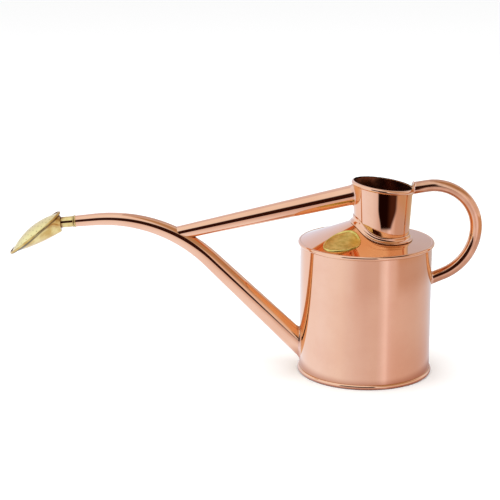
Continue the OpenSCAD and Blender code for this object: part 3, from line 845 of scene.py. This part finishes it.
# each mesh piece: what makes it, the CAD node it stands for, its slot and its material
CAN_PIECES = (
    (drum_shell, "drum_wall", "copper", COPPER),
    (foot_hem, "base_hem", "copper", COPPER),
    (rim_wire, "rim_bead", "copper", COPPER),
    (cover_sheet, "top_cover", "copper", COPPER),
    (neck_sheet, "neck", "copper", COPPER),
    (mouth_wire, "neck_rim", "copper", COPPER),
    (collar, "neck_collar", "copper", COPPER),
    (plaque, "maker_plaque", "plaque_brass", PLAQUE_BRASS),
    (spout_tube, "spout", "copper", TUBE_COPPER),
    (brace_tapered, "brace_tube", "copper", TUBE_COPPER),
    (handle_loop, "handle_tube", "copper", HANDLE_COPPER),
    (spout_fillet, "spout_solder", "solder", SOLDER),
    (brace_fillet, "brace_solder", "solder", SOLDER),
    (handle_top_fillet, "handle_top_solder", "solder", SOLDER),
    (handle_low_fillet, "handle_low_solder", "solder", SOLDER))
ROSE_PIECES = (
    (rose_cup, "rose_socket", "brass", BRASS),
    (rose_cone, "rose_back", "brass", BRASS),
    (rose_plate, "rose_face", "brass_face", FACE_BRASS),
    (rose_edge, "rose_rim", "brass", BRASS))
KEPT_NODES = (
    ("side_seam", SOLDER), ("base_plate", BASE_COPPER), ("spout_ferrule", BRASS), ("rose_seal", RUBBER))

for body, pieces in (("can", CAN_PIECES), ("rose", ROSE_PIECES)):
    for make, node, slot, mat in pieces:
        place_piece(make(), node, body, slot, mat)
for node, mat in KEPT_NODES:
    dress(frame["nodes"][node], mat)

# ---------------------------------------------------------------- studio: floor, cards, world, light, camera
def stage_mesh(name, verts, faces):
    mesh = bpy.data.meshes.new(name)
    mesh.from_pydata(verts, [], faces)
    obj = bpy.data.objects.new(name, mesh)
    bpy.context.scene.collection.objects.link(obj)
    return obj


# What the metal mirrors of the table, by bearing in degrees from -Y towards +X: white on the left, dimmer
# and rosier in front, one bright streak, and warmer on the right.
TABLE_GLOW = [
    (-180, (0.86, 0.92, 1.00)), (-130, (0.97, 1.00, 1.10)), (-85, (0.98, 1.09, 1.34)),
    (-46, (0.93, 0.99, 1.15)), (-32, (0.86, 0.88, 1.02)), (-20, (0.82, 0.80, 0.91)),
    (-5, (0.78, 0.74, 0.83)), (17, (0.78, 0.74, 0.81)), (23, (0.83, 0.80, 0.92)),
    (30, (0.96, 0.96, 1.13)), (33, (0.98, 0.98, 1.16)), (38, (0.85, 0.79, 0.90)),
    (44, (0.80, 0.72, 0.78)), (53, (0.77, 0.68, 0.72)), (90, (0.72, 0.65, 0.68)),
    (120, (0.71, 0.68, 0.75)), (150, (0.73, 0.74, 0.80)), (180, (0.86, 0.92, 1.00))]
FOCUS = (-0.0026, -0.030)       # about where the drum's front seems to mirror from
TWICE = (0.93, 0.86, 0.60)      # what a second mirroring multiplies by: metal seen in metal is more golden


def floor():
    """A white table.  For the metal it glows by bearing, with darker and warmer patches."""
    half = 8.0
    corners = [(-half, -half, 0), (half, -half, 0), (half, half, 0), (-half, half, 0)]
    obj = stage_mesh("studio_floor", corners, [(0, 1, 2, 3)])
    mat, n = new_material("floor_white")
    place = n.parts(n.place())
    speck = n.noise(n.place(), 400, 2)
    white = n.add("ShaderNodeBsdfDiffuse", {"Color": n.mix(speck, (0.93, 0.93, 0.93), (0.95, 0.95, 0.95))})
    bearing = n.bearing(n.math("SUBTRACT", place["X"], FOCUS[0]), n.math("SUBTRACT", place["Y"], FOCUS[1]))
    away = n.math("SQRT", n.math("ADD", n.math("POWER", place["X"], 2.0), n.math("POWER", place["Y"], 2.0)))
    path = n.add("ShaderNodeLightPath").outputs
    right = n.ramp(bearing, 45, 60)
    middle = n.math("MULTIPLY", n.ramp(bearing, -32, -12), n.ramp(bearing, 25, 17))
    band = n.math("MULTIPLY", n.ramp(away, 0.28, 0.40), n.ramp(away, 0.54, 0.46))
    patches = (
        (n.math("MULTIPLY", n.ramp(away, 0.22, 0.07), n.ramp(bearing, 15, 60)), (0.95, 0.88, 0.84)),
        (n.math("MULTIPLY", middle, band), (0.90, 0.83, 0.79)),
        (n.math("MULTIPLY", right, n.ramp(away, 0.30, 0.39)), (0.84, 0.74, 0.66)),
        (n.math("MULTIPLY", right, n.ramp(away, 0.43, 0.52)), (1.0, 0.88, 0.62)),
        # painted shadow: the ring close round the can's foot, which the hem and the drum's foot mirror
        (n.ramp(away, 0.085, 0.064), (0.66, 0.50, 0.44)),
        (n.math("GREATER_THAN", path["Ray Depth"], 1.5), TWICE))
    tint = n.stops(n.ramp(bearing, -180, 180, smooth=False), [((b + 180) / 360, c) for b, c in TABLE_GLOW])
    for share, colour in patches:
        tint = n.mix(share, tint, colour, "MULTIPLY")
    glow = n.add("ShaderNodeEmission", {"Color": tint, "Strength": 1.0})
    links = {0: path["Is Glossy Ray"], 1: white.outputs[0], 2: glow.outputs[0]}
    shader = n.add("ShaderNodeMixShader", links)
    n.add("ShaderNodeOutputMaterial", {"Surface": shader.outputs[0]})
    obj.data.materials.append(mat)


def card_surface(n, mask, colour):
    """Dark where the mask is 1 and clear where it is 0."""
    clear, dark = n.add("ShaderNodeBsdfTransparent"), n.add("ShaderNodeEmission", {"Color": colour})
    shader = n.add("ShaderNodeMixShader", {0: mask, 1: clear.outputs[0], 2: dark.outputs[0]})
    n.add("ShaderNodeOutputMaterial", {"Surface": shader.outputs[0]})


def only_mirrored(obj, mat):
    obj.data.materials.append(mat)
    obj.visible_camera = obj.visible_diffuse = obj.visible_shadow = False


def first_mirroring(n):
    return n.math("LESS_THAN", n.add("ShaderNodeLightPath").outputs["Ray Depth"], 1.5)


def far_card():
    """The dark room in front of the table: one dark line along every tube."""
    y, x0, x1, z0, z1 = -0.60, -0.62, 0.19, 0.02, 0.70
    low = 0.24                     # only below this height does a second mirroring show it
    obj = stage_mesh("far_card", [(x0, y, z0), (x1, y, z0), (x1, y, z1), (x0, y, z1)], [(0, 1, 2, 3)])
    mat, n = new_material("far_card")
    place = n.parts(n.place())
    across = n.math("MULTIPLY", n.ramp(place["X"], x0, x0 + 0.1), n.ramp(place["X"], x1, x1 - 0.06))
    up = n.math("MULTIPLY", n.ramp(place["Z"], z0, z0 + 0.03), n.ramp(place["Z"], z1, z1 - 0.2))
    shown = n.math("MAXIMUM", first_mirroring(n), n.math("LESS_THAN", place["Z"], low))
    mask = n.math("MULTIPLY", n.math("MULTIPLY", across, up), shown)
    card_surface(n, mask, (0.030, 0.007, 0.003, 1))
    only_mirrored(obj, mat)


def neck_card():
    """A dark curve in front of the neck, the dark band down its middle.  Only a first mirroring shows it."""
    r, z0, z1 = 0.060, 0.1185, 0.158
    bearings = np.linspace(-28, 50, 30)
    k = len(bearings)
    verts = [(NECK_X * MM + r * sin(b), -r * cos(b), z) for z in (z0, z1) for b in bearings]
    obj = stage_mesh("neck_card", verts, [(i, i + 1, k + i + 1, k + i) for i in range(k - 1)])
    mat, n = new_material("neck_card")
    place = n.parts(n.place())
    bearing = n.bearing(n.math("SUBTRACT", place["X"], NECK_X * MM), place["Y"])
    low = n.ramp(place["Z"], z0 + 0.022, z0)           # near its foot the band narrows from both sides
    left = n.ramp(n.math("SUBTRACT", bearing, n.math("MULTIPLY", low, 9.0)), -20, -15)
    right = n.ramp(n.math("ADD", bearing, n.math("MULTIPLY", low, 16.0)), 47, 36)
    mask = n.math("MULTIPLY", n.math("MULTIPLY", left, right), n.ramp(place["Z"], z0, z0 + 0.004))
    mask = n.math("MULTIPLY", mask, first_mirroring(n))
    card_surface(n, mask, n.mix(n.ramp(bearing, 8, 26), (0.010, 0.002, 0.001), (0.065, 0.022, 0.012)))
    only_mirrored(obj, mat)


def world():
    """A white tent that is dim and warm on the +X side, and dimmer behind."""
    made = bpy.data.worlds.new("studio_world")
    made.use_nodes = True
    bpy.context.scene.world = made
    n = Nodes(made.node_tree)
    way = n.parts(n.add("ShaderNodeTexCoord").outputs["Generated"])
    rise = n.math("MULTIPLY", n.math("ARCSINE", way["Z"]), 180 / math.pi)
    bearing = n.bearing(way["X"], way["Y"])
    right = n.math("MULTIPLY", n.ramp(bearing, 14, 40), n.ramp(bearing, 140, 100))
    warm = n.math("MULTIPLY", right, n.math("MULTIPLY", n.ramp(rise, 18, 34), n.ramp(rise, 89, 78)))
    behind = n.ramp(n.math("ABSOLUTE", bearing), 120, 150)
    back = n.mix(n.ramp(bearing, -175, 165), (0.80, 0.80, 0.92), (0.60, 0.55, 0.58))
    tent = n.mix(right, (0.97, 1.06, 1.18), (0.82, 0.74, 0.72))
    tent = n.mix(warm, tent, (0.50, 0.36, 0.22))
    tent = n.mix(behind, tent, back)
    path = n.add("ShaderNodeLightPath").outputs
    # a ray that leaves the scene has a depth one higher than a ray that comes to the floor
    tent = n.mix(n.math("GREATER_THAN", path["Ray Depth"], 2.5), tent, TWICE, "MULTIPLY")
    seen = n.mix(path["Is Glossy Ray"], (1.0, 1.0, 1.0), tent)
    shader = n.add("ShaderNodeBackground", {"Color": seen, "Strength": 1.0})
    n.add("ShaderNodeOutputWorld", {"Surface": shader.outputs[0]})


def key_light():
    """A wide soft light above the table, for the floor and the faint shadow under the can."""
    light = bpy.data.lights.new("key_light", "AREA")
    light.shape, light.size, light.energy = "DISK", 2.2, 22.0
    obj = bpy.data.objects.new("key_light", light)
    obj.location = (-0.3, -0.2, 1.8)
    obj.rotation_euler = (math.radians(-6), math.radians(-9), 0)
    obj.visible_glossy = False
    bpy.context.scene.collection.objects.link(obj)


def camera():
    """The photograph's view: a long lens from -Y, a little above the can."""
    look_down = 14.89
    cam = bpy.data.cameras.new("photo_camera")
    cam.sensor_width, cam.lens = 36.0, 112.94
    cam.clip_start, cam.clip_end = 0.05, 30.0
    obj = bpy.data.objects.new("photo_camera", cam)
    obj.location = (-0.1023, -1.3373, 0.4654)
    obj.rotation_euler = (math.radians(90 - look_down), 0, 0)
    bpy.context.scene.collection.objects.link(obj)
    bpy.context.scene.camera = obj


floor()
far_card()
neck_card()
world()
key_light()
camera()
bpy.context.scene.view_settings.view_transform = "Standard"

bpy.context.view_layer.update()
